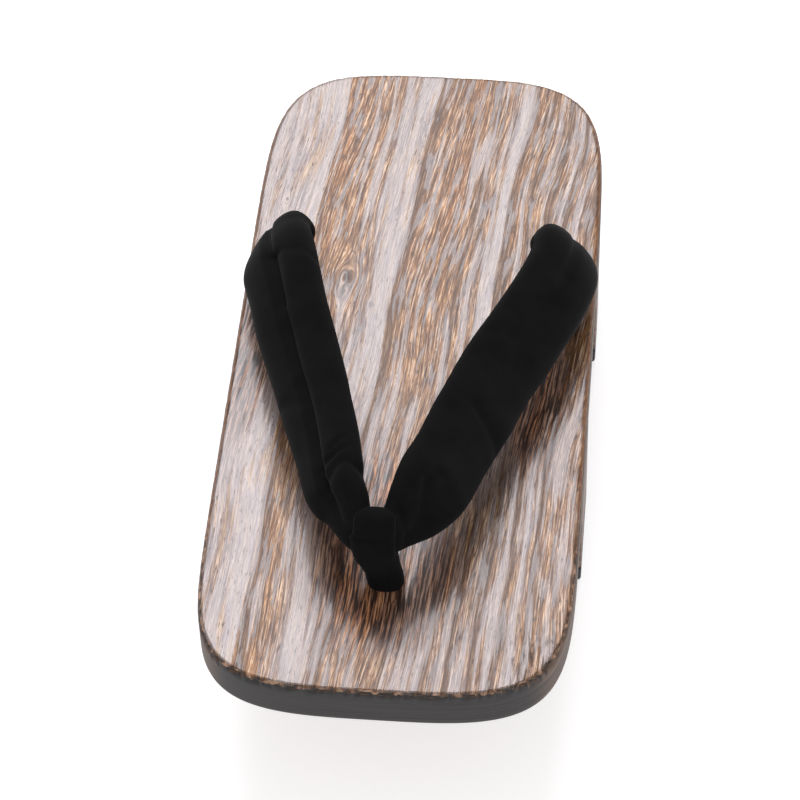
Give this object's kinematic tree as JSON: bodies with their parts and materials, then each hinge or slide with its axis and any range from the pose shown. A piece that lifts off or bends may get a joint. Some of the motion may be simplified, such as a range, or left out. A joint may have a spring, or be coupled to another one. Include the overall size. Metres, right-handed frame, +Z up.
{
  "type": "geta sandal",
  "caption": "Wooden sandal with a flat board on two cross teeth, rubber foot pads and a padded strap held by a thong between the toes",
  "frame": {"origin": "on the floor under the middle of the deck, the centre of the bottom of the bounding box", "axes": "+Z up, the toe points along -Y and the heel along +Y, +X is the right side seen from behind the toe, looking to the heel"},
  "size_m": [0.115, 0.265, 0.0926],
  "materials": {
    "deck_wood": "brushed grain, charred dark in the grooves, glossy clear coat",
    "tooth_wood": "stained, satin",
    "pad_rubber": "matt, fine texture",
    "strap_velvet": "short black velvet pile"
  },
  "bodies": {
    "root": {"deck": "deck_wood", "tooth_front": "tooth_wood", "tooth_rear": "tooth_wood", "rubber_front": "pad_rubber", "rubber_rear": "pad_rubber", "upper_straps": "strap_velvet"}
  },
  "joints": []
}
